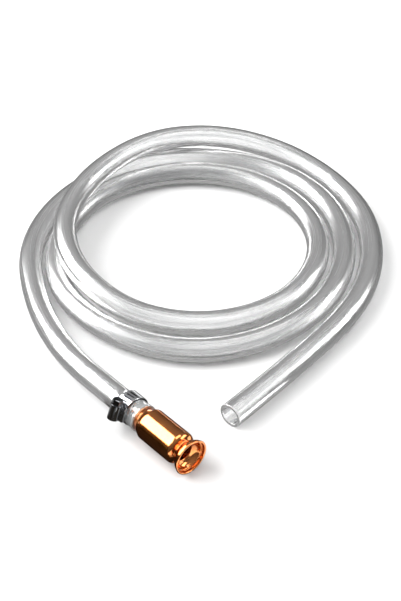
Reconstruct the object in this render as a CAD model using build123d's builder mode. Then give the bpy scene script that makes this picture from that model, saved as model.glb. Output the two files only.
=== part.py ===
"""Self-priming shaker siphon: a clear hose, a spun copper valve head and a worm-drive hose clamp.

Frame: millimetres, +Z up, the part lies on z = 0.  The head's axis is horizontal, along +X, and its
bell mouth faces +X.  The origin is at the bottom centre of the head and clamp together.
"""
from build123d import *
import os
from math import cos, pi, radians, sin, sqrt, tan

# ---------------------------------------------------------------- driving dimensions
HOSE_OUTER_RADIUS = 8.0
HOSE_BORE_RADIUS = 6.0

HEAD_LENGTH = 63.0            # barbed tail to bell mouth
VISIBLE_HEAD = 43.5           # hose end to bell mouth
SHELL_WALL = 0.9
BODY_RADIUS = 10.5
BELL_RADIUS = 11.75
BEAD_RADIUS = 0.65            # the bell's rolled rim
NECK_BORE_RADIUS = 5.6
TAIL_BORE_RADIUS = 6.2
BALL_RADIUS = 7.0
MOVING_CLEARANCE = 0.3        # between pieces that move past each other
FIT_GAP = 0.05                # between pieces that touch without moving

BAND_WIDTH = 9.0
BAND_THICKNESS = 0.6
SADDLE_THICKNESS = 0.4
CLAMP_SETBACK = 12.4          # hose end back to the middle of the clamp
HOUSING_ANGLE = 68.0          # from straight up, round towards -Y
HOUSING_LENGTH = 9.4          # along the screw
HOUSING_WALL = 0.6
ARCH_CLEARANCE = 0.4          # between the thread's crest and the housing
SCREW_CREST_RADIUS = 2.5
SCREW_HEAD_FLATS = 6.0
COLLAR_RADIUS = 3.7

# ---------------------------------------------------------------- where the head lies
mouth_x = HEAD_LENGTH / 2
tail_end_x = -HEAD_LENGTH / 2
hose_end_x = mouth_x - VISIBLE_HEAD
clamp_x = hose_end_x - CLAMP_SETBACK
tail_radius = TAIL_BORE_RADIUS + SHELL_WALL


def stretched_radius(inside):
    """The hose's outside radius where it is stretched over a round piece, its wall keeping its area."""
    return sqrt(HOSE_OUTER_RADIUS**2 - HOSE_BORE_RADIUS**2 + inside**2)


# ---------------------------------------------------------------- clamp, radii from the hose axis
band_inner = stretched_radius(tail_radius) + FIT_GAP
band_outer = band_inner + BAND_THICKNESS
saddle_inner = band_outer + FIT_GAP
saddle_outer = saddle_inner + SADDLE_THICKNESS
tail_rise = (saddle_outer + FIT_GAP - band_outer) / 2
tail_inner = band_outer + tail_rise
tail_outer = tail_inner + BAND_THICKNESS
tail_crown = tail_outer + tail_rise
screw_height = tail_crown + MOVING_CLEARANCE + SCREW_CREST_RADIUS
arch_inner = SCREW_CREST_RADIUS + ARCH_CLEARANCE
housing_top = screw_height + arch_inner + HOUSING_WALL

housing_reach = housing_top * sin(radians(HOUSING_ANGLE)) + HOUSING_LENGTH / 2 * cos(radians(HOUSING_ANGLE))
AXIS_Y = (housing_reach - BELL_RADIUS) / 2
AXIS_Z = BELL_RADIUS

HEAD_AXIS = Axis((0, AXIS_Y, AXIS_Z), (1, 0, 0))
HEAD_SECTION = Plane(origin=(0, AXIS_Y, AXIS_Z), x_dir=(1, 0, 0), z_dir=(0, -1, 0))

pieces = []


def keep(builder, name):
    """Label a finished piece and put it on the list of pieces to write."""
    builder.part.label = name
    pieces.append(builder.part)


def rounded_line(outline):
    """A line in the open sketch through (x, radius, fillet) corners; its two ends have no fillet."""
    places = [(x, radius) for x, radius, fillet in outline]
    fillets = [fillet for x, radius, fillet in outline]
    return FilletPolyline(*places, radius=fillets[1:-1])


# ---------------------------------------------------------------- valve shell
# One spun copper tube: barbed tail, rear cone, ball chamber, neck and rolled bell mouth.
TIP_LENGTH = 2.2              # tapered lead-in at the tail's end
TIP_TAPER = 0.8
REAR_GAP = 6.2                # hose end to the start of the body's cylinder
CONE_LENGTH = 7.8
SHOULDER_SETBACK = 9.8        # bell mouth back to the shoulder
NECK_SETBACK = 7.3            # bell mouth back to the neck
INSIDE_SETBACK = 0.5          # the inside of shoulder and neck, behind their outside
FLARE_START = 0.7             # neck forward to the start of the bell's inner flare
BOWL_SETBACK = 5.1            # bell mouth back to the bowl's corner, inside
BOWL_RADIUS = 8.3
BOWL_SKIN_SETBACK = 6.0       # and outside
BOWL_SKIN_RADIUS = 8.85
FLARE_SETBACK = 2.5           # bell mouth back to the end of the flare
LIP_DEPTH = 2.3
BELL_WALL_RADIUS = 9.6        # inside, at the end of the flare

tip_radius = tail_radius - TIP_TAPER
taper_start_x = tail_end_x + TIP_LENGTH
chamber_radius = BODY_RADIUS - SHELL_WALL
cylinder_start_x = hose_end_x + REAR_GAP
cone_foot_x = cylinder_start_x - CONE_LENGTH
shoulder_x = mouth_x - SHOULDER_SETBACK
neck_x = mouth_x - NECK_SETBACK
seat_x = neck_x - INSIDE_SETBACK
flare_end_x = mouth_x - FLARE_SETBACK
lip_x = mouth_x - LIP_DEPTH
bead_x = mouth_x - BEAD_RADIUS
bead_centre_radius = BELL_RADIUS - BEAD_RADIUS

# Corners of the wall's outside and inside: x, radius, fillet.
outer_line = [
    (tail_end_x, tip_radius, 0),
    (taper_start_x, tail_radius, 0.1),
    (cone_foot_x, tail_radius, 0.1),
    (cylinder_start_x, BODY_RADIUS, 2.5),
    (shoulder_x, BODY_RADIUS, 3.3),
    (neck_x, NECK_BORE_RADIUS + SHELL_WALL, 0.7),
    (mouth_x - BOWL_SKIN_SETBACK, BOWL_SKIN_RADIUS, 4.0),
    (flare_end_x, bead_centre_radius, 0.4),
    (bead_x, bead_centre_radius, 0),
]
inner_line = [
    (bead_x, bead_centre_radius - BEAD_RADIUS / 2, 0),
    (lip_x, bead_centre_radius - BEAD_RADIUS, 0.3),
    (flare_end_x, BELL_WALL_RADIUS, 0.3),
    (mouth_x - BOWL_SETBACK, BOWL_RADIUS, 4.0),
    (neck_x + FLARE_START, NECK_BORE_RADIUS, 0.8),
    (seat_x, NECK_BORE_RADIUS, 0.3),
    (shoulder_x - INSIDE_SETBACK, chamber_radius, 2.2),
    (cylinder_start_x, chamber_radius, 2.0),
    (cone_foot_x, TAIL_BORE_RADIUS, 2.0),
    (taper_start_x, TAIL_BORE_RADIUS, 0.1),
    (tail_end_x, tip_radius - SHELL_WALL, 0),
]

BARB_COUNT = 3
BARB_PITCH = 4.0
BARB_HEIGHT = 0.45
BARB_RAMP = 3.2
BARB_LENGTH = 3.4
barb_root = tail_radius - SHELL_WALL / 3

with BuildPart() as valve_body:
    with BuildSketch(HEAD_SECTION):
        with BuildLine():
            outside = rounded_line(outer_line)
            inside = rounded_line(inner_line)
            Line(outside @ 1, inside @ 0)
            Line(inside @ 1, outside @ 0)
        make_face()
        with Locations((bead_x, bead_centre_radius)):
            Circle(BEAD_RADIUS)
        for barb in range(BARB_COUNT):
            barb_x = taper_start_x + barb * BARB_PITCH
            with BuildLine():
                Polyline(
                    (barb_x, barb_root),
                    (barb_x, tail_radius),
                    (barb_x + BARB_RAMP, tail_radius + BARB_HEIGHT),
                    (barb_x + BARB_LENGTH, tail_radius),
                    (barb_x + BARB_LENGTH, barb_root),
                    close=True,
                )
            make_face()
    revolve(axis=HEAD_AXIS)
keep(valve_body, "valve_body")

# ---------------------------------------------------------------- valve ball
# At rest the ball lies on the chamber's lower wall, near its back; it rises to the seat when it closes.
BALL_LEAD = 2.2               # start of the cylinder forward to the ball at rest
ball_reach = BALL_RADIUS + MOVING_CLEARANCE
ball_drop = chamber_radius - ball_reach
ball_rest_x = cylinder_start_x + BALL_LEAD
ball_seated_x = seat_x - sqrt(ball_reach**2 - NECK_BORE_RADIUS**2)

with BuildPart() as valve_ball:
    with Locations((ball_rest_x, AXIS_Y, AXIS_Z - ball_drop)):
        Sphere(BALL_RADIUS)
keep(valve_ball, "valve_ball")

# ---------------------------------------------------------------- ball stop
# A wire staple: its legs spring against the tail's bore and its bar keeps the ball off the rear cone.
STOP_WIRE_RADIUS = 0.7
STOP_BEND_RADIUS = 1.6
STOP_LEG_LENGTH = 12.5
stop_bar_x = hose_end_x - STOP_WIRE_RADIUS
stop_leg_end_x = stop_bar_x - STOP_LEG_LENGTH
stop_half_span = TAIL_BORE_RADIUS - STOP_WIRE_RADIUS - FIT_GAP

with BuildPart() as ball_stop:
    with BuildLine(Plane.XY.offset(AXIS_Z)) as staple:
        FilletPolyline(
            (stop_leg_end_x, AXIS_Y + stop_half_span),
            (stop_bar_x, AXIS_Y + stop_half_span),
            (stop_bar_x, AXIS_Y - stop_half_span),
            (stop_leg_end_x, AXIS_Y - stop_half_span),
            radius=STOP_BEND_RADIUS,
        )
    with BuildSketch(Plane(origin=staple.line @ 0, z_dir=staple.line % 0)):
        Circle(STOP_WIRE_RADIUS)
    sweep(path=staple.wires()[0])
keep(ball_stop, "ball_stop")

# ---------------------------------------------------------------- hose clamp
# Sketches across the hose: local x runs along the screw, local y points out through the housing.
along_screw = (0, cos(radians(HOUSING_ANGLE)), sin(radians(HOUSING_ANGLE)))
out_of_hose = (0, -sin(radians(HOUSING_ANGLE)), cos(radians(HOUSING_ANGLE)))
clamp_centre = Vector(clamp_x, AXIS_Y, AXIS_Z)
screw_centre = clamp_centre + Vector(*out_of_hose) * screw_height
CLAMP_SECTION = Plane(origin=clamp_centre, x_dir=along_screw, z_dir=(1, 0, 0))
SCREW_SECTION = Plane(origin=screw_centre, x_dir=out_of_hose, z_dir=along_screw)


def ring_sector(inner, outer, start_angle, sweep_angle, centre_height=0.0):
    """A sector of a flat ring, as a sketch of its own, angles from the local x axis."""
    centre = (0, centre_height)
    with BuildSketch() as sector:
        with BuildLine():
            outer_arc = CenterArc(centre, outer, start_angle, sweep_angle)
            inner_arc = CenterArc(centre, inner, start_angle, sweep_angle)
            Line(outer_arc @ 0, inner_arc @ 0)
            Line(outer_arc @ 1, inner_arc @ 1)
        make_face()
    return sector.sketch


# The band is one strip: a full turn on the hose, a step up behind the housing, and a slotted outer lap.
TAIL_END_ANGLE = -62.0
STEP_ANGLE = 124.0
STEP_SPREAD = 4.0
STEP_OVERLAP = 3.0            # of the step under the lap's end
FIRST_SLOT_ANGLE = -50.0
SLOT_PITCH_ANGLE = 14.0
SLOT_COUNT = 12
SLOT_LENGTH = 5.8
SLOT_WIDTH = 1.2
SLOT_SLANT = 8.0

outer_lap = ring_sector(tail_inner, tail_outer, TAIL_END_ANGLE, STEP_ANGLE - TAIL_END_ANGLE, tail_rise)
step_inner = band_outer - BAND_THICKNESS / 2
lap_step = ring_sector(step_inner, tail_outer, STEP_ANGLE - STEP_OVERLAP, STEP_SPREAD, tail_rise / 2)

with BuildPart() as clamp_band:
    with BuildSketch(CLAMP_SECTION.offset(-BAND_WIDTH / 2)):
        Circle(band_outer)
        Circle(band_inner, mode=Mode.SUBTRACT)
        add(outer_lap)
        add(lap_step)
    extrude(amount=BAND_WIDTH)
    for slot in range(SLOT_COUNT):
        turn = radians(FIRST_SLOT_ANGLE + slot * SLOT_PITCH_ANGLE)
        outward = Vector(*along_screw) * cos(turn) + Vector(*out_of_hose) * sin(turn)
        lap_radius = (tail_inner + tail_outer) / 2 + tail_rise * sin(turn)
        with BuildSketch(Plane(origin=clamp_centre + outward * lap_radius, x_dir=(1, 0, 0), z_dir=outward)):
            SlotOverall(SLOT_LENGTH, SLOT_WIDTH, rotation=SLOT_SLANT)
        extrude(amount=BAND_THICKNESS, both=True, mode=Mode.SUBTRACT)
keep(clamp_band, "clamp_band")

# The saddle lies between the band's two laps and turns up beside the outer one.
SADDLE_HALF_ANGLE = 27.0
SADDLE_OVERHANG = 0.6         # beyond each edge of the band
SADDLE_EAR = 0.45             # thickness of the turned-up edge
EAR_STANDING = 0.1            # above the band's lap
saddle_half_width = BAND_WIDTH / 2 + SADDLE_OVERHANG
ear_height = tail_crown + EAR_STANDING

saddle_plate = ring_sector(saddle_inner, saddle_outer, 90 - SADDLE_HALF_ANGLE, 2 * SADDLE_HALF_ANGLE)
saddle_ear = ring_sector(saddle_inner, ear_height, 90 - SADDLE_HALF_ANGLE, 2 * SADDLE_HALF_ANGLE)

with BuildPart() as clamp_saddle:
    with BuildSketch(CLAMP_SECTION.offset(-saddle_half_width)):
        add(saddle_plate)
    extrude(amount=2 * saddle_half_width)
    for ear_start in (-saddle_half_width, saddle_half_width - SADDLE_EAR):
        with BuildSketch(CLAMP_SECTION.offset(ear_start)):
            add(saddle_ear)
        extrude(amount=SADDLE_EAR)
keep(clamp_saddle, "clamp_saddle")

# The housing is a stamped arch over the screw, with side walls down beside the saddle.
SKIRT_DROP = 0.4              # of the side walls, below the band's outside
SKIRT_BEND = 0.3              # inside radius of the bend above each side wall
FOOT_BEND = 0.9               # inside radius of the bend at the foot of the arch
CROWN_SHARE = 0.95            # of the arch's half width, rounded at the top
JOURNAL_RADIUS = 1.6
JOURNAL_CLEARANCE = 0.08
END_WALL = 0.6
housing_skirt = saddle_half_width + FIT_GAP
skirt_bottom = band_outer - SKIRT_DROP
housing_shoulder = ear_height + 3 * FIT_GAP
HOUSING_SECTION = Plane(origin=clamp_centre, x_dir=(-1, 0, 0), z_dir=along_screw)


def housing_outline(grow):
    """The arch's line: (across, height, fillet) corners, grown by the wall's thickness for its outside."""
    side = housing_skirt + grow
    shoulder = housing_shoulder + grow
    arch = arch_inner + grow
    crown = screw_height + arch
    skirt_fillet = SKIRT_BEND + grow
    foot_fillet = FOOT_BEND - grow
    crown_fillet = arch * CROWN_SHARE
    return [
        (-side, skirt_bottom, 0),
        (-side, shoulder, skirt_fillet),
        (-arch, shoulder, foot_fillet),
        (-arch, crown, crown_fillet),
        (arch, crown, crown_fillet),
        (arch, shoulder, foot_fillet),
        (side, shoulder, skirt_fillet),
        (side, skirt_bottom, 0),
    ]


with BuildPart() as clamp_housing:
    with BuildSketch(HOUSING_SECTION.offset(-HOUSING_LENGTH / 2)):
        with BuildLine():
            outer_arch = rounded_line(housing_outline(HOUSING_WALL))
            inner_arch = rounded_line(housing_outline(0))
            Line(outer_arch @ 0, inner_arch @ 0)
            Line(outer_arch @ 1, inner_arch @ 1)
        make_face()
    extrude(amount=HOUSING_LENGTH)
    with BuildSketch(SCREW_SECTION.offset(-HOUSING_LENGTH / 2)):
        Circle(arch_inner + HOUSING_WALL / 2)
    extrude(amount=END_WALL)
    with BuildSketch(SCREW_SECTION.offset(-HOUSING_LENGTH / 2)):
        Circle(JOURNAL_RADIUS + JOURNAL_CLEARANCE)
    extrude(amount=END_WALL, mode=Mode.SUBTRACT)
keep(clamp_housing, "clamp_housing")

# The worm screw: journal, threaded shank, collar and slotted hexagon head.
THREAD_COUNT = 3
THREAD_PITCH = 2.4
THREAD_DEPTH = 0.7
THREAD_LEAD_IN = 0.1
JOURNAL_STANDING = 0.5        # of the journal, out of the housing's end wall
COLLAR_THICKNESS = 0.7
HEAD_HEIGHT = 3.6
DRIVER_SLOT_WIDTH = 1.0
DRIVER_SLOT_DEPTH = 1.8
thread_root = SCREW_CREST_RADIUS - THREAD_DEPTH
thread_start = MOVING_CLEARANCE + END_WALL - HOUSING_LENGTH / 2
journal_end = -HOUSING_LENGTH / 2 - JOURNAL_STANDING
collar_start = HOUSING_LENGTH / 2 + MOVING_CLEARANCE
head_start = collar_start + COLLAR_THICKNESS
SCREW_PROFILE = Plane(origin=screw_centre, x_dir=along_screw, z_dir=(1, 0, 0))

screw_line = [
    (journal_end, 0),
    (journal_end, JOURNAL_RADIUS),
    (thread_start, JOURNAL_RADIUS),
    (thread_start, thread_root),
]
for thread in range(THREAD_COUNT):
    thread_foot = thread_start + THREAD_LEAD_IN + thread * THREAD_PITCH
    screw_line += [
        (thread_foot, thread_root),
        (thread_foot + THREAD_PITCH * 0.3, SCREW_CREST_RADIUS),
        (thread_foot + THREAD_PITCH * 0.5, SCREW_CREST_RADIUS),
        (thread_foot + THREAD_PITCH * 0.8, thread_root),
    ]
screw_line += [
    (collar_start, thread_root),
    (collar_start, COLLAR_RADIUS),
    (head_start, COLLAR_RADIUS),
    (head_start, 0),
]

with BuildPart() as clamp_screw:
    with BuildSketch(SCREW_PROFILE):
        with BuildLine():
            Polyline(*screw_line, close=True)
        make_face()
    revolve(axis=Axis(screw_centre, along_screw))
    with BuildSketch(SCREW_SECTION.offset(head_start)):
        RegularPolygon(SCREW_HEAD_FLATS / 2, 6, major_radius=False)
    extrude(amount=HEAD_HEIGHT)
    with BuildSketch(SCREW_SECTION.offset(head_start + HEAD_HEIGHT)):
        Rectangle(2 * SCREW_HEAD_FLATS, DRIVER_SLOT_WIDTH)
    extrude(amount=-DRIVER_SLOT_DEPTH, mode=Mode.SUBTRACT)
keep(clamp_screw, "clamp_screw")

# ---------------------------------------------------------------- hose
# One length of hose lies on the floor in almost three loose turns.  The cuff is pushed over the barbed
# tail; the tube then follows the route, its corners rounded to arcs, and ends in the open free end.
CUFF_BEYOND_TAIL = 2.5
MOUTH_FLARE_LENGTH = 6.0
cuff_end_x = tail_end_x - CUFF_BEYOND_TAIL
ROUTE = [
    (cuff_end_x, AXIS_Y, AXIS_Z),
    (-92, AXIS_Y, AXIS_Z),
    (-150, 23, 8),
    (-202, 56, 8),
    (-232, 110, 8),
    (-234, 175, 8),
    (-205, 221, 8),
    (-155, 252, 8),
    (-98, 252, 8),
    (-47, 220, 8),
    (-17, 168, 8),
    (-16, 111, 8),
    (-43, 62, 8),
    (-94, 38, 8),
    (-152, 42, 8),
    (-198, 79, 8),
    (-220, 134, 8),
    (-206, 191, 8),
    (-162, 229, 8),
    (-104, 233, 8),
    (-56, 204, 8),
    (-34, 150, 8),
    (-48, 95, 9),
    (-88, 57, 14),
    (-143, 52, 21),
    (-191, 77, 25),
    (-220, 128, 27),
    (-225, 187, 28),
    (-206, 237, 21),
    (-167, 269, 12),
    (-117, 274, 8),
    (-68, 259, 8),
    (-27, 224, 8),
    (-1, 177, 8),
    (11, 111, 8),
    (18, 46, 8),
]
ARC_SHARE = 0.45              # of the shorter run, taken up by the arc at each corner
SPAN_BREAKS = [6, 12, 18, 23, 28]     # runs at whose middles one span of the tube meets the next

corners = [Vector(*point) for point in ROUTE]
LAST_CORNER = len(corners) - 2


def arc_reach(corner):
    """How far from one corner of the route its arc starts and ends."""
    run_in = corners[corner] - corners[corner - 1]
    run_out = corners[corner + 1] - corners[corner]
    return ARC_SHARE * min(run_in.length, run_out.length)


def arc_radius(corner):
    """The radius of the arc at one corner of the route."""
    run_in = corners[corner] - corners[corner - 1]
    run_out = corners[corner + 1] - corners[corner]
    return arc_reach(corner) / tan(radians(run_in.get_angle(run_out)) / 2)


def middle_of(run):
    """The middle of one straight run, between the arcs at its ends."""
    return (corners[run] + corners[run + 1]) * 0.5


def toward(start, target, distance):
    """The place at a distance from start on the straight line to target."""
    return start + (target - start).normalized() * distance


def hose_section():
    """The hose's ring section in the open sketch."""
    Circle(HOSE_OUTER_RADIUS)
    Circle(HOSE_BORE_RADIUS, mode=Mode.SUBTRACT)


last_reach = arc_reach(LAST_CORNER)
last_arc_start = toward(corners[LAST_CORNER], corners[LAST_CORNER - 1], last_reach)
free_end = corners[-1]
free_end_start = toward(corners[LAST_CORNER], free_end, last_reach)

span_starts = [corners[0]] + [middle_of(run) for run in SPAN_BREAKS]
span_ends = [middle_of(run) for run in SPAN_BREAKS] + [last_arc_start]
first_corners = [1] + [run + 1 for run in SPAN_BREAKS]
last_corners = SPAN_BREAKS + [LAST_CORNER - 1]

hose_volume = 0.0
hose_length = 0.0
spans = zip(span_starts, span_ends, first_corners, last_corners)
for number, (start, end, first, last) in enumerate(spans, 1):
    inner_corners = range(first, last + 1)
    with BuildPart() as hose_span:
        with BuildLine() as centre_line:
            bends = FilletPolyline(
                start,
                *[corners[corner] for corner in inner_corners],
                end,
                radius=[arc_radius(corner) for corner in inner_corners],
            )
            if end == last_arc_start:
                TangentArc(bends @ 1, free_end_start, tangent=bends % 1)
        with BuildSketch(Plane(origin=bends @ 0, z_dir=bends % 0)):
            hose_section()
        sweep(path=centre_line.wires()[0])
    keep(hose_span, f"hose_span_{number}")
    hose_volume += hose_span.part.volume
    hose_length += centre_line.wires()[0].length

# The cuff is stretched over the tail and the foot of the rear cone.  The barbs bite into it.
cone_slope = (BODY_RADIUS - tail_radius) / CONE_LENGTH
mouth_bore_radius = tail_radius + cone_slope * (hose_end_x - cone_foot_x)
with BuildPart() as hose_cuff:
    with BuildSketch(HEAD_SECTION):
        with BuildLine():
            Polyline(
                (hose_end_x, stretched_radius(mouth_bore_radius)),
                (hose_end_x - MOUTH_FLARE_LENGTH, stretched_radius(tail_radius)),
                (taper_start_x, stretched_radius(tail_radius)),
                (cuff_end_x, HOSE_OUTER_RADIUS),
                (cuff_end_x, HOSE_BORE_RADIUS),
                (tail_end_x, tip_radius),
                (taper_start_x, tail_radius),
                (cone_foot_x, tail_radius),
                (hose_end_x, mouth_bore_radius),
                close=True,
            )
        make_face()
    revolve(axis=HEAD_AXIS)
keep(hose_cuff, "hose_cuff")

# The free end: the straight stretch after the last arc, cut square, its bore open.
free_end_length = (free_end - free_end_start).length
with BuildPart() as hose_free_end:
    with BuildSketch(Plane(origin=free_end_start, z_dir=free_end - free_end_start)):
        hose_section()
    extrude(amount=free_end_length)
keep(hose_free_end, "hose_free_end")

# ---------------------------------------------------------------- write the pieces
os.makedirs("parts", exist_ok=True)
for piece in pieces:
    export_step(piece, f"parts/{piece.label}.step")

section_area = pi * (HOSE_OUTER_RADIUS**2 - HOSE_BORE_RADIUS**2)
cuff_length = hose_end_x - cuff_end_x
print("arc radii, mm:", [round(arc_radius(corner)) for corner in range(1, LAST_CORNER + 1)])
print("runs, mm:", [round((after - before).length) for before, after in zip(corners, corners[1:])])
print(f"swept volume / (section x length): {hose_volume / (section_area * hose_length):.5f}")
print(f"whole hose, mm: {hose_length + cuff_length + free_end_length:.0f}")
print(f"head axis: y {AXIS_Y:.4f}, z {AXIS_Z:.4f}; clamp at x {clamp_x:.3f}")
print(f"ball rest: x {ball_rest_x:.4f}, drop {ball_drop:.4f}; seated: x {ball_seated_x:.4f}")
print("screw axis:", screw_centre, along_screw)
free_end_direction = (free_end - free_end_start).normalized()
print(f"free end: {free_end_length:.3f} long,", free_end, "pointing", free_end_direction)
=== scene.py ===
import math

import bpy
import numpy as np
from mathutils import Matrix, Vector


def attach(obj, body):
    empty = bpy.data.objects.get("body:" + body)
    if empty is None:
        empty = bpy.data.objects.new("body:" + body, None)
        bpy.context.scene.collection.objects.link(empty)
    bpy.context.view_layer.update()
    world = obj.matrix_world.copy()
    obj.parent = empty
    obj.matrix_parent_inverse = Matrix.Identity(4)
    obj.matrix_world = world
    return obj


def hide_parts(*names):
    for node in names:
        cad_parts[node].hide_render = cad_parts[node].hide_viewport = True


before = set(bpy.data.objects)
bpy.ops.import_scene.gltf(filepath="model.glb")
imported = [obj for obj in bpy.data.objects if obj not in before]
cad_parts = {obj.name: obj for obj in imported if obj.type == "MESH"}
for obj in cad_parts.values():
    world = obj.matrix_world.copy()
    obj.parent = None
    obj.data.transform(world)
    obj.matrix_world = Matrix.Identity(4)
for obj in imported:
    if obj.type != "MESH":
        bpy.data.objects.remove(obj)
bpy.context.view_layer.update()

# A clear hose in loose turns, a spun copper valve head and a worm-drive clamp, in metres.
# ------------------------------------------------------------------ sizes shared with the CAD part
HOSE_OUTER_RADIUS = 0.0080
HOSE_BORE_RADIUS = 0.0060
# The head and the cuff lie along X at this Y and height, with the bell's mouth towards +X.
AXIS_Y = 0.0028423
AXIS_Z = 0.01175
HOSE_END_X = -0.0120          # the mouth of the hose, on the head's tail
TAIL_TAPER_X = -0.0293        # the tail narrows from here to its end
TAIL_END_X = -0.0315
CUFF_END_X = -0.0340          # the hose is back at its own size
TAIL_RADIUS = 0.0071
TIP_RADIUS = 0.0063
MOUTH_BORE_RADIUS = 0.0078
CLAMP_X = -0.0244             # the middle of the band and of the screw
BAND_HALF_WIDTH = 0.0045
LAP_INNER_RADIUS = 0.0097     # the inside of the band's outer lap
SCREW_ANGLE = math.radians(68)
SCREW_HEIGHT = 0.013405       # from the hose's axis to the screw's

# The hose's route over the floor: the cuff on the tail, almost three loose turns, and the free end.
HOSE_ROUTE = [
    (HOSE_END_X, AXIS_Y, AXIS_Z),
    (CUFF_END_X, AXIS_Y, AXIS_Z),
    (-0.092, AXIS_Y, AXIS_Z),
    (-0.150, 0.023, 0.008),
    (-0.202, 0.056, 0.008),
    (-0.232, 0.110, 0.008),
    (-0.234, 0.175, 0.008),
    (-0.205, 0.221, 0.008),
    (-0.155, 0.252, 0.008),
    (-0.098, 0.252, 0.008),
    (-0.047, 0.220, 0.008),
    (-0.017, 0.168, 0.008),
    (-0.016, 0.111, 0.008),
    (-0.043, 0.062, 0.008),
    (-0.094, 0.038, 0.008),
    (-0.152, 0.042, 0.008),
    (-0.198, 0.079, 0.008),
    (-0.220, 0.134, 0.008),
    (-0.206, 0.191, 0.008),
    (-0.162, 0.229, 0.008),
    (-0.104, 0.233, 0.008),
    (-0.056, 0.204, 0.008),
    (-0.034, 0.150, 0.008),
    (-0.048, 0.095, 0.009),
    (-0.088, 0.057, 0.014),
    (-0.143, 0.052, 0.021),
    (-0.191, 0.077, 0.025),
    (-0.220, 0.128, 0.027),
    (-0.225, 0.187, 0.028),
    (-0.206, 0.237, 0.021),
    (-0.167, 0.269, 0.012),
    (-0.117, 0.274, 0.008),
    (-0.068, 0.259, 0.008),
    (-0.027, 0.224, 0.008),
    (-0.001, 0.177, 0.008),
    (0.011, 0.111, 0.008),
    (0.018, 0.046, 0.008),
]
SPAN_NODES = [f"hose_span_{number}" for number in range(1, 7)]
HOSE_NODES = ["hose_cuff", *SPAN_NODES, "hose_free_end"]

# ------------------------------------------------------------------ camera
CAMERA_AZIMUTH = math.radians(48.184)
CAMERA_ELEVATION = math.radians(39.746)
CAMERA_DISTANCE = 0.9384
CAMERA_TARGET = Vector((-0.0831, 0.1123, 0.0))
CAMERA_LENS = 82.80
CAMERA_NEAR_CLIP = 0.01
SENSOR_HEIGHT = 36.0

scene = bpy.context.scene


def direction(azimuth, elevation):
    """The way from a target to what looks at it: azimuth 0 stands at -Y, and 90 degrees at +X."""
    flat = math.cos(elevation)
    return Vector((math.sin(azimuth) * flat, -math.cos(azimuth) * flat, math.sin(elevation)))


def aim(thing, azimuth, elevation, distance):
    """Stand a camera or a light off from the middle of the picture, its -Z towards that."""
    place = CAMERA_TARGET + direction(azimuth, elevation) * distance
    turn = (CAMERA_TARGET - place).to_track_quat("-Z", "Y")
    thing.matrix_world = Matrix.Translation(place) @ turn.to_matrix().to_4x4()


camera_data = bpy.data.cameras.new("camera")
camera_data.sensor_fit = "VERTICAL"
camera_data.sensor_height = SENSOR_HEIGHT
camera_data.lens = CAMERA_LENS
camera_data.clip_start = CAMERA_NEAR_CLIP
camera = bpy.data.objects.new("camera", camera_data)
scene.collection.objects.link(camera)
aim(camera, CAMERA_AZIMUTH, CAMERA_ELEVATION, CAMERA_DISTANCE)
scene.camera = camera


# ------------------------------------------------------------------ materials
class Nodes:
    """A material's node tree, with short calls to add and join its nodes."""

    def __init__(self, name):
        self.material = bpy.data.materials.new(name)
        self.material.use_nodes = True
        self.tree = self.material.node_tree
        self.shader = self.tree.nodes["Principled BSDF"]

    def set(self, node, **sockets):
        """Set a node's inputs, each by its name, to a value or to another node's output."""
        for name, value in sockets.items():
            socket = node.inputs[name.replace("_", " ")]
            if isinstance(value, bpy.types.NodeSocket):
                self.tree.links.new(value, socket)
            else:
                socket.default_value = value

    def add(self, kind, **sockets):
        """A new node of one kind, with its inputs set."""
        node = self.tree.nodes.new(kind)
        self.set(node, **sockets)
        return node

    def place(self, scale=(1, 1, 1), attribute=None):
        """A vector for a texture: the object's own place, or a stored attribute, scaled."""
        if attribute:
            source = self.tree.nodes.new("ShaderNodeAttribute")
            source.attribute_name = attribute
            vector = source.outputs["Vector"]
        else:
            vector = self.tree.nodes.new("ShaderNodeTexCoord").outputs["Object"]
        return self.add("ShaderNodeMapping", Vector=vector, Scale=scale).outputs["Vector"]

    def noise(self, vector, detail=3.0, roughness=0.5):
        """Noise from about 0.3 to 0.7, as fine as its vector's scale makes it."""
        node = self.add("ShaderNodeTexNoise", Vector=vector, Scale=1.0, Detail=detail, Roughness=roughness)
        return node.outputs["Fac"]

    def ramp(self, value, low, high, low_at=0.3, high_at=0.7):
        """A number or colour that goes from low to high as value goes between two places."""
        node = self.add("ShaderNodeMapRange", Value=value, From_Min=low_at, From_Max=high_at)
        if not isinstance(low, tuple):
            self.set(node, To_Min=low, To_Max=high)
            return node.outputs["Result"]
        mix = self.tree.nodes.new("ShaderNodeMix")
        mix.data_type = "RGBA"
        self.tree.links.new(node.outputs["Result"], mix.inputs["Factor"])
        low_colour, high_colour = mix.inputs[6:8]
        low_colour.default_value = (*low, 1)
        high_colour.default_value = (*high, 1)
        return mix.outputs[2]

    def vector_math(self, operation, vector, other=(0, 0, 0)):
        """One step of vector arithmetic; a length comes out as a number, and anything else as a vector."""
        node = self.tree.nodes.new("ShaderNodeVectorMath")
        node.operation = operation
        self.tree.links.new(vector, node.inputs[0])
        node.inputs[1].default_value = other
        return node.outputs["Value" if operation == "LENGTH" else "Vector"]

    def bump(self, height, distance, normal=None):
        """A bumped normal; distance is the bumps' height, and normal one that is bumped already."""
        node = self.add("ShaderNodeBump", Height=height, Distance=distance, Strength=1.0)
        if normal:
            self.set(node, Normal=normal)
        return node.outputs["Normal"]


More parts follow.
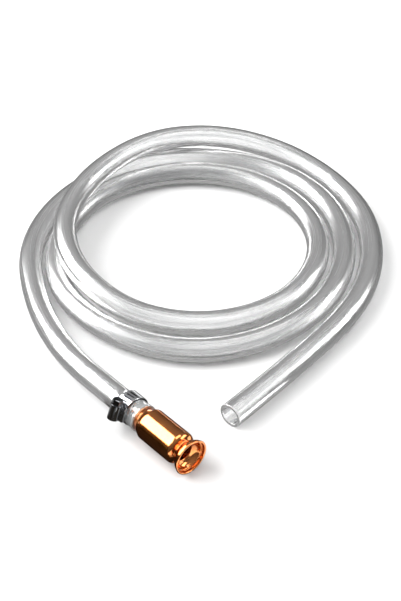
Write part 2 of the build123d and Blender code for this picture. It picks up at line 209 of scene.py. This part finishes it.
def clear_vinyl():
    """Clear hose: bright, slightly hazy vinyl with draw lines along its length."""
    nodes = Nodes("clear_vinyl")
    lines = nodes.noise(nodes.place((9, 620, 620), "tube_frame"), detail=4.0, roughness=0.65)
    swell = nodes.noise(nodes.place((45, 160, 160), "tube_frame"), detail=2.0)
    nodes.set(
        nodes.shader,
        Base_Color=nodes.ramp(lines, (0.66, 0.665, 0.67), (0.965, 0.965, 0.965), 0.36, 0.58),
        Transmission_Weight=0.95,
        IOR=1.45,
        Roughness=nodes.ramp(lines, 0.34, 0.13),
        Normal=nodes.bump(swell, 0.0004, nodes.bump(lines, 0.00012)),
    )
    return nodes.material


def stretched_vinyl():
    """The hose's mouth, stretched over the tail: hazier, with faint rings round it."""
    nodes = Nodes("stretched_vinyl")
    ridges = nodes.noise(nodes.place((1100, 12, 12), "tube_frame"), detail=2.0)
    nodes.set(
        nodes.shader,
        Base_Color=nodes.ramp(ridges, (0.46, 0.50, 0.50), (0.90, 0.91, 0.92)),
        Transmission_Weight=0.80,
        IOR=1.45,
        Roughness=nodes.ramp(ridges, 0.08, 0.22),
        Normal=nodes.bump(ridges, 0.00012),
    )
    return nodes.material


def spun_copper():
    """Polished, lacquered copper with fine turning lines round it, redder and darker in patches."""
    nodes = Nodes("spun_copper")
    turning = nodes.noise(nodes.place((9000, 40, 40)), detail=2.0)
    patches = nodes.noise(nodes.place((90, 90, 90)), detail=4.0)
    nodes.set(
        nodes.shader,
        Base_Color=nodes.ramp(patches, (0.78, 0.24, 0.050), (0.90, 0.33, 0.085)),
        Metallic=1.0,
        Roughness=nodes.ramp(patches, 0.10, 0.19),
        Specular_Tint=(0.60, 0.28, 0.14, 1),
        Coat_Weight=1.0,
        Coat_Roughness=0.06,
        Coat_IOR=1.5,
        Normal=nodes.bump(turning, 0.000004),
    )
    return nodes.material


GRAIN_DEPTH = 0.000006        # of the rolled or brushed grain on the steel
GRAIN_SHADE = 0.86            # its darkest lines, as a share of the steel's tone
PAINTED_SHADE_EDGE = 0.0003             # from painted shade to bright steel, at the inside of the band's outer lap


def steel(name, tone, rough_low, rough_high, grain):
    """Stainless steel with a rolled or brushed grain; grain is the noise's scale along X, Y and Z."""
    nodes = Nodes(name)
    lines = nodes.noise(nodes.place(grain), roughness=0.6)
    darker = tuple(GRAIN_SHADE * part for part in tone)
    nodes.set(
        nodes.shader,
        Base_Color=nodes.ramp(lines, darker, tone),
        Metallic=1.0,
        Roughness=nodes.ramp(lines, rough_low, rough_high),
        Normal=nodes.bump(lines, GRAIN_DEPTH),
    )
    return nodes.material


def slotted_band_painted_shade():
    """The clamp's band: bright rolled strip, with shade painted near black inside its outer lap, where the
    slots show it.
    """
    nodes = Nodes("slotted_band_painted_shade")
    lines = nodes.noise(nodes.place((2500, 200, 200)), roughness=0.6)
    from_axis = nodes.vector_math("SUBTRACT", nodes.place(), (0, AXIS_Y, AXIS_Z))
    radius = nodes.vector_math("LENGTH", nodes.vector_math("MULTIPLY", from_axis, (0, 1, 1)))
    # Painted shade: the steel inside the outer lap's radius is coloured near black, standing in for the
    # shade in the slots.
    outside_painted_shade = nodes.ramp(radius, 0.0, 1.0, LAP_INNER_RADIUS, LAP_INNER_RADIUS + PAINTED_SHADE_EDGE)
    nodes.set(
        nodes.shader,
        Base_Color=nodes.ramp(outside_painted_shade, (0.05, 0.05, 0.055), (0.82, 0.83, 0.85), 0.0, 1.0),
        Metallic=1.0,
        Roughness=nodes.ramp(lines, 0.10, 0.22),
        Normal=nodes.bump(lines, GRAIN_DEPTH),
    )
    return nodes.material


def marble_glass():
    """The ball: clear glass, faintly green, with a few seeds."""
    nodes = Nodes("marble_glass")
    seeds = nodes.noise(nodes.place((500, 500, 500)), detail=2.0)
    nodes.set(
        nodes.shader,
        Base_Color=(0.85, 0.95, 0.90, 1),
        Transmission_Weight=1.0,
        IOR=1.5,
        Roughness=nodes.ramp(seeds, 0.0, 0.06, 0.6, 0.75),
        Normal=nodes.bump(seeds, 0.00004),
    )
    return nodes.material


def matt(name, low, high, scale, detail, roughness):
    """A surface with no gloss, very slightly uneven between two colours."""
    nodes = Nodes(name)
    cloud = nodes.noise(nodes.place((scale, scale, scale)), detail=detail)
    nodes.set(
        nodes.shader,
        Base_Color=nodes.ramp(cloud, low, high),
        Roughness=roughness,
        Specular_IOR_Level=0.0,
    )
    return nodes.material


def pale_floor():
    """A plain pale floor, uneven over a third of a metre or so."""
    return matt("pale_floor", (0.61, 0.61, 0.61), (0.63, 0.63, 0.63), scale=3, detail=3.0, roughness=0.9)


def card_finish(name, low, high):
    """Matt card, dark or white."""
    return matt(name, low, high, scale=20, detail=2.0, roughness=1.0)


# ------------------------------------------------------------------ meshes
def mesh_object(name, vertices, faces, materials, smooth=True):
    """A mesh piece in the scene, from its vertices and faces."""
    mesh = bpy.data.meshes.new(name)
    mesh.from_pydata([tuple(vertex) for vertex in vertices], [], faces)
    mesh.validate()
    mesh.polygons.foreach_set("use_smooth", [smooth] * len(mesh.polygons))
    for material in materials:
        mesh.materials.append(material)
    thing = bpy.data.objects.new(name, mesh)
    scene.collection.objects.link(thing)
    return thing


def quads(rows, around, closed_rows=False):
    """Faces of a grid of rings: each ring has around points, and the last point meets the first."""
    row = np.arange(rows if closed_rows else rows - 1)[:, None]
    step = np.arange(around)[None, :]
    here = row * around
    ahead = (row + 1) % rows * around
    next_step = (step + 1) % around
    corners = np.stack([here + step, here + next_step, ahead + next_step, ahead + step], axis=-1)
    return corners.reshape(-1, 4).tolist()


def box(centre, halves):
    """Vertices and faces of a box from its centre and its three half edges."""
    signs = [(i, j, k) for i in (-1, 1) for j in (-1, 1) for k in (-1, 1)]
    corners = [centre + halves[0] * i + halves[1] * j + halves[2] * k for i, j, k in signs]
    return corners, [(0, 1, 3, 2), (4, 6, 7, 5), (0, 4, 5, 1), (2, 3, 7, 6), (0, 2, 6, 4), (1, 5, 7, 3)]


# ------------------------------------------------------------------ hose
SPLINE_STEPS = 16             # points to each span of the spline
HOSE_AROUND = 64              # points to each ring
CUFF_RINGS = 111              # evenly spaced from the mouth to the cuff's end
RING_GAP = 0.001              # least gap after the cuff's last ring, and from a ring to the free end
RIM_ROUND = 0.0002            # softened edges at the cut ends
RIM_STEP = RIM_ROUND * 0.3    # a ring part of the way round the mouth's edge
UP = np.array([0.0, 0.0, 1.0])


def spline_points(route):
    """The smooth line through a route: points along the NURBS spline that it controls."""
    data = bpy.data.curves.new("hose_line", "CURVE")
    data.dimensions = "3D"
    data.resolution_u = SPLINE_STEPS
    spline = data.splines.new("NURBS")
    spline.points.add(len(route) - 1)
    for point, place in zip(spline.points, route):
        point.co = (*place, 1.0)
    spline.order_u = 3
    spline.use_endpoint_u = True
    holder = bpy.data.objects.new("hose_line", data)
    scene.collection.objects.link(holder)
    bpy.context.view_layer.update()
    mesh = bpy.data.meshes.new_from_object(holder)
    points = np.array([vertex.co for vertex in mesh.vertices], float)
    bpy.data.objects.remove(holder)
    bpy.data.curves.remove(data)
    bpy.data.meshes.remove(mesh)
    return points


def stretched_radius(inside):
    """The hose's outside radius where it is stretched over a round piece, its wall keeping its area."""
    return math.sqrt(HOSE_OUTER_RADIUS**2 - HOSE_BORE_RADIUS**2 + inside**2)


def past_end(x):
    """The distance along the hose from its mouth to a place on the head's axis."""
    return HOSE_END_X - x


def at_each(distances, known, values):
    """Rows of values that are known at some distances, worked out at others."""
    return np.stack([np.interp(distances, known, column) for column in values.T], axis=1)


def unit(rows):
    """Each row as a vector of length 1."""
    return rows / np.linalg.norm(rows, axis=1)[:, None]


cuff_length = past_end(CUFF_END_X)
mouth_radius = stretched_radius(MOUTH_BORE_RADIUS)
cuff_radius = stretched_radius(TAIL_RADIUS)
band_middle = past_end(CLAMP_X)
band_start = band_middle - BAND_HALF_WIDTH
band_end = band_middle + BAND_HALF_WIDTH
# The cuff's skin and bore as (distance along, radius): rounded mouth, swell, grip of the band, and taper.
CUFF_SKIN = [
    (0.0, mouth_radius - RIM_ROUND),
    (RIM_STEP, mouth_radius - RIM_STEP),
    (RIM_ROUND, mouth_radius),
    (0.0018, mouth_radius - 0.0001),
    (0.0036, cuff_radius + 0.0002),
    (0.0052, cuff_radius + 0.00002),
    (band_start - 0.0012, cuff_radius + 0.00022),
    (band_start, cuff_radius),
    (band_end, cuff_radius),
    (band_end + 0.0010, cuff_radius + 0.0001),
    (past_end(TAIL_TAPER_X) + 0.0012, cuff_radius - 0.0001),
    (past_end(TAIL_END_X) + 0.0006, HOSE_OUTER_RADIUS + 0.00025),
    (cuff_length, HOSE_OUTER_RADIUS),
]
CUFF_BORE = [
    (0.0, MOUTH_BORE_RADIUS + RIM_ROUND),
    (RIM_ROUND, MOUTH_BORE_RADIUS),
    (0.0016, TAIL_RADIUS),
    (past_end(TAIL_TAPER_X), TAIL_RADIUS),
    (past_end(TAIL_END_X), TIP_RADIUS),
    (cuff_length, HOSE_BORE_RADIUS),
]

line = spline_points(HOSE_ROUTE)
steps = np.linalg.norm(np.diff(line, axis=0), axis=1)
along = np.concatenate([[0.0], np.cumsum(steps)])
total = along[-1]

# Distances along the hose at which it gets a ring: close together on the cuff and at the ends.
ring_at = np.unique(np.concatenate([
    [RIM_STEP],
    np.linspace(0.0, cuff_length, CUFF_RINGS),
    along[along > cuff_length + RING_GAP],
    [total - RING_GAP, total - RIM_ROUND],
]))
centres = at_each(ring_at, along, line)
tangents = unit(at_each(ring_at, along, np.gradient(line, along, axis=0)))
up = unit(UP - tangents * tangents[:, 2:3])
side = np.cross(tangents, up)
angle = np.linspace(0, 2 * math.pi, HOSE_AROUND, endpoint=False)

free_rounding = np.clip(RIM_ROUND - (total - ring_at), 0, None)
outer_radius = np.interp(ring_at, *zip(*CUFF_SKIN)) - free_rounding
bore_radius = np.interp(ring_at, *zip(*CUFF_BORE)) + free_rounding


def rings(radii):
    """Ring points round the centre line, one row for each ring."""
    spread = side[:, None, :] * np.cos(angle)[None, :, None] + up[:, None, :] * np.sin(angle)[None, :, None]
    return centres[:, None, :] + spread * radii[:, None, None]


# One closed tube: the skin's rings from the mouth to the free end, and the bore's rings back again.
hose_vertices = np.concatenate([rings(outer_radius), rings(bore_radius)[::-1]]).reshape(-1, 3)
hose_faces = quads(2 * len(ring_at), HOSE_AROUND, closed_rows=True)
hose = mesh_object("hose", hose_vertices, hose_faces, [clear_vinyl(), stretched_vinyl()])

# Each point's distance along the hose and its place across it, for the materials.
ring_distance = np.concatenate([ring_at, ring_at[::-1]])
ring_radius = np.concatenate([outer_radius, bore_radius[::-1]])[:, None]
tube_frame = np.stack([
    np.repeat(ring_distance, HOSE_AROUND),
    (ring_radius * np.cos(angle)).ravel(),
    (ring_radius * np.sin(angle)).ravel(),
], axis=1)
stored = hose.data.attributes.new("tube_frame", "FLOAT_VECTOR", "POINT")
stored.data.foreach_set("vector", tube_frame.astype(np.float32).ravel())
# From the mouth to the middle of the band, both sides have the second material.
on_cuff = (ring_distance < band_middle) & (np.roll(ring_distance, -1) < band_middle)
hose.data.polygons.foreach_set("material_index", np.repeat(on_cuff.astype(np.int32), HOSE_AROUND))
hose.data.update()
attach(hose, "siphon")
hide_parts(*HOSE_NODES)

# ------------------------------------------------------------------ worm screw
# Places along the screw from the middle of its housing, and radii.
JOURNAL_END = -0.0052
JOURNAL_RADIUS = 0.0016
THREAD_START = -0.0038
THREAD_END = 0.0036
THREAD_PITCH = 0.0024
THREAD_ROOT = 0.0018
THREAD_DEPTH = 0.0007
THREAD_FOOT = 0.36            # half the thread's width at its foot, as a share of the pitch
THREAD_FLANK = 0.20           # the width of each flank, as a share of the pitch
THREAD_RUN_OUT = 0.0008       # length over which each end of the thread fades out
COLLAR_START = 0.0050
COLLAR_RADIUS = 0.0037
HEAD_START = 0.0057
HEAD_TOP = 0.0093
HEAD_HALF_FLATS = 0.0030
HEAD_CROWN_RADIUS = 0.0027
HEAD_CHAMFER_SLOPE = 0.6
DRIVER_SLOT_WIDTH = 0.0010
DRIVER_SLOT_DEPTH = 0.0018
EDGE = 0.0001                 # chamfers, and the gap between the thread's rings
SHARP_ANGLE = math.radians(28)
SCREW_AROUND = 96             # points to each ring

along_screw = Vector((0, math.cos(SCREW_ANGLE), math.sin(SCREW_ANGLE)))
out_of_hose = Vector((0, -math.sin(SCREW_ANGLE), math.cos(SCREW_ANGLE)))
across_screw = Vector((1, 0, 0))
screw_centre = Vector((CLAMP_X, AXIS_Y, AXIS_Z)) + out_of_hose * SCREW_HEIGHT
turns = [2 * math.pi * step / SCREW_AROUND for step in range(SCREW_AROUND)]


def screw_point(at, radius, turn):
    """A place on the screw: a distance along it, a radius, and an angle from straight out of the hose."""
    outward = out_of_hose * math.cos(turn) + across_screw * math.sin(turn)
    return screw_centre + along_screw * at + outward * radius


def thread_radius(at, turn):
    """The helical thread's radius: a flat crest between two flanks, run out at both ends."""
    phase = (at / THREAD_PITCH - turn / (2 * math.pi)) % 1.0
    flank = min(max((THREAD_FOOT - abs(phase - 0.5)) / THREAD_FLANK, 0.0), 1.0)
    run_out = min((at - THREAD_START) / THREAD_RUN_OUT, (THREAD_END - at) / THREAD_RUN_OUT, 1.0)
    return THREAD_ROOT + THREAD_DEPTH * flank * max(run_out, 0.0)


def hexagon_radius(turn):
    """The radius of the head's hexagon at an angle, its corners at the whole sixths of a turn."""
    sixth = math.pi / 3
    return HEAD_HALF_FLATS / math.cos(turn % sixth - sixth / 2)


def screw_rows():
    """The screw's rings, from the journal to the head's top: lists of (distance along, radius)."""
    journal = [
        (JOURNAL_END, JOURNAL_RADIUS - EDGE),
        (JOURNAL_END + EDGE, JOURNAL_RADIUS),
        (THREAD_START, JOURNAL_RADIUS),
    ]
    collar = [
        (COLLAR_START, THREAD_ROOT),
        (COLLAR_START, COLLAR_RADIUS - EDGE),
        (COLLAR_START + EDGE, COLLAR_RADIUS),
        (HEAD_START - EDGE, COLLAR_RADIUS),
        (HEAD_START, COLLAR_RADIUS - EDGE),
    ]
    hexagon = [hexagon_radius(turn) for turn in turns]
    rows = [[ring] * SCREW_AROUND for ring in journal]
    for at in np.arange(THREAD_START, THREAD_END + EDGE, EDGE):
        rows.append([(at, thread_radius(at, turn)) for turn in turns])
    rows += [[ring] * SCREW_AROUND for ring in collar]
    rows.append([(HEAD_START, radius) for radius in hexagon])
    chamfer = [(HEAD_TOP - (radius - HEAD_CROWN_RADIUS) * HEAD_CHAMFER_SLOPE, radius) for radius in hexagon]
    rows.append(chamfer)
    rows.append([(HEAD_TOP, HEAD_CROWN_RADIUS)] * SCREW_AROUND)
    return rows


def screw_mesh(finish):
    """The worm screw before its driver's slot is cut: rings joined by quads, and a face at each end."""
    rows = screw_rows()
    vertices = [screw_point(at, radius, turn) for row in rows for (at, radius), turn in zip(row, turns)]
    faces = quads(len(rows), SCREW_AROUND)
    faces.append(list(range(SCREW_AROUND))[::-1])
    faces.append([(len(rows) - 1) * SCREW_AROUND + step for step in range(SCREW_AROUND)])
    return mesh_object("screw", vertices, faces, [finish])


def cut_driver_slot(thing):
    """Cut the driver's slot with a box that reaches past the head on both sides."""
    slot_halves = (
        out_of_hose * 2 * HEAD_HALF_FLATS,
        across_screw * DRIVER_SLOT_WIDTH / 2,
        along_screw * DRIVER_SLOT_DEPTH,
    )
    cutter = mesh_object("slot_cutter", *box(screw_centre + along_screw * HEAD_TOP, slot_halves), [])
    cut = thing.modifiers.new("slot", "BOOLEAN")
    cut.operation = "DIFFERENCE"
    cut.solver = "EXACT"
    cut.object = cutter
    bpy.context.view_layer.update()
    slotted = bpy.data.meshes.new_from_object(thing.evaluated_get(bpy.context.evaluated_depsgraph_get()))
    thing.modifiers.clear()
    thing.data = slotted
    bpy.data.objects.remove(cutter)


screw = screw_mesh(steel("plated_screw", (0.26, 0.265, 0.28), 0.07, 0.15, (1500, 1500, 1500)))
cut_driver_slot(screw)
screw.data.set_sharp_from_angle(angle=SHARP_ANGLE)
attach(screw, "worm_screw")
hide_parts("clamp_screw")

# ------------------------------------------------------------------ finishes of the CAD pieces
FINISHES = {
    "valve_body": spun_copper(),
    "valve_ball": marble_glass(),
    "ball_stop": steel("spring_wire", (0.62, 0.62, 0.64), 0.18, 0.30, (300, 3000, 3000)),
    "clamp_band": slotted_band_painted_shade(),
    "clamp_saddle": steel("pressed_saddle", (0.70, 0.71, 0.73), 0.14, 0.26, (2000, 300, 300)),
    "clamp_housing": steel("pressed_housing", (0.60, 0.61, 0.63), 0.06, 0.13, (1500, 400, 400)),
}
for node, finish in FINISHES.items():
    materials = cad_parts[node].data.materials
    materials.clear()
    materials.append(finish)

# ------------------------------------------------------------------ floor and cards
FLOOR_HALF = 4.0
CARD_LIFT = 0.0002            # of the cards that lie on the floor
DARK_CARD_NEAR_Y = -0.004
DARK_CARD_FAR_Y = -0.115
DARK_CARD_NEAR_X = (-0.045, 0.045)
DARK_CARD_FAR_X = (-0.110, 0.020)
DARK_CARD_TOP = 0.070
WHITE_CARD_X = (0.034, 0.160)
WHITE_CARD_Y = (-0.060, 0.110)


def sheet(x_range, y_range, height):
    """The four corners of a level rectangle."""
    (left, right), (front, back) = x_range, y_range
    return [(left, front, height), (right, front, height), (right, back, height), (left, back, height)]


def reflected_card(name, vertices, faces, material):
    """A card that is only seen in reflections."""
    card = mesh_object(name, vertices, faces, [material], smooth=False)
    card.visible_camera = False
    card.visible_diffuse = False
    card.visible_transmission = False
    card.visible_shadow = False


floor_range = (-FLOOR_HALF, FLOOR_HALF)
floor = mesh_object("floor", sheet(floor_range, floor_range, 0), [(0, 1, 2, 3)], [pale_floor()])
floor.visible_glossy = False

# A dark card beside the head, turned up at its far edge, gives the polished metal its dark side.
near_left, near_right = DARK_CARD_NEAR_X
far_left, far_right = DARK_CARD_FAR_X
reflected_card(
    "dark_card",
    [
        (near_left, DARK_CARD_NEAR_Y, CARD_LIFT),
        (near_right, DARK_CARD_NEAR_Y, CARD_LIFT),
        (far_right, DARK_CARD_FAR_Y, CARD_LIFT),
        (far_left, DARK_CARD_FAR_Y, CARD_LIFT),
        (far_right, DARK_CARD_FAR_Y, DARK_CARD_TOP),
        (far_left, DARK_CARD_FAR_Y, DARK_CARD_TOP),
    ],
    [(0, 1, 2, 3), (3, 2, 4, 5)],
    card_finish("dark_card", (0.012, 0.010, 0.008), (0.020, 0.018, 0.015)),
)
# A white card in front of the bell's mouth lights its bowl.
reflected_card(
    "white_card",
    sheet(WHITE_CARD_X, WHITE_CARD_Y, CARD_LIFT),
    [(0, 1, 2, 3)],
    card_finish("white_card", (0.93, 0.93, 0.93), (0.96, 0.96, 0.96)),
)

# ------------------------------------------------------------------ lights and world
LIGHT_DISTANCE = 3.0
FILL_STRENGTH = 0.5           # of the world, in all light but reflections
HORIZON_STRENGTH = 0.08       # of the world in reflections, level with the floor
ZENITH_STRENGTH = 0.34        # and straight up


def softbox(name, azimuth, elevation, width, height, power):
    """A soft rectangular light that faces the head and hose."""
    data = bpy.data.lights.new(name, "AREA")
    data.shape = "RECTANGLE"
    data.size = width
    data.size_y = height
    data.energy = power
    light = bpy.data.objects.new(name, data)
    scene.collection.objects.link(light)
    aim(light, math.radians(azimuth), math.radians(elevation), LIGHT_DISTANCE)


def studio_world():
    """A plain world. Metal reflects a dark studio, and light that comes through the hose a bright one."""
    world = bpy.data.worlds.new("studio")
    world.use_nodes = True
    tree = world.node_tree
    background = tree.nodes["Background"]
    place = tree.nodes.new("ShaderNodeTexCoord")
    split = tree.nodes.new("ShaderNodeSeparateXYZ")
    steepness = tree.nodes.new("ShaderNodeMath")
    steepness.operation = "ABSOLUTE"
    reflected = tree.nodes.new("ShaderNodeMapRange")
    reflected.inputs["To Min"].default_value = HORIZON_STRENGTH
    reflected.inputs["To Max"].default_value = ZENITH_STRENGTH
    rays = tree.nodes.new("ShaderNodeLightPath")
    choose = tree.nodes.new("ShaderNodeMix")
    choose.inputs["A"].default_value = FILL_STRENGTH
    background.inputs["Color"].default_value = (1, 1, 1, 1)
    tree.links.new(place.outputs["Generated"], split.inputs[0])
    tree.links.new(split.outputs["Z"], steepness.inputs[0])
    tree.links.new(steepness.outputs[0], reflected.inputs["Value"])
    tree.links.new(rays.outputs["Is Glossy Ray"], choose.inputs["Factor"])
    tree.links.new(reflected.outputs["Result"], choose.inputs["B"])
    tree.links.new(choose.outputs["Result"], background.inputs["Strength"])
    return world


softbox("key", -50, 40, 3.0, 3.0, 220)
softbox("top", 180, 75, 2.0, 2.0, 40)
softbox("back", 140, 26, 2.4, 1.4, 40)
scene.world = studio_world()
scene.view_settings.view_transform = "Standard"
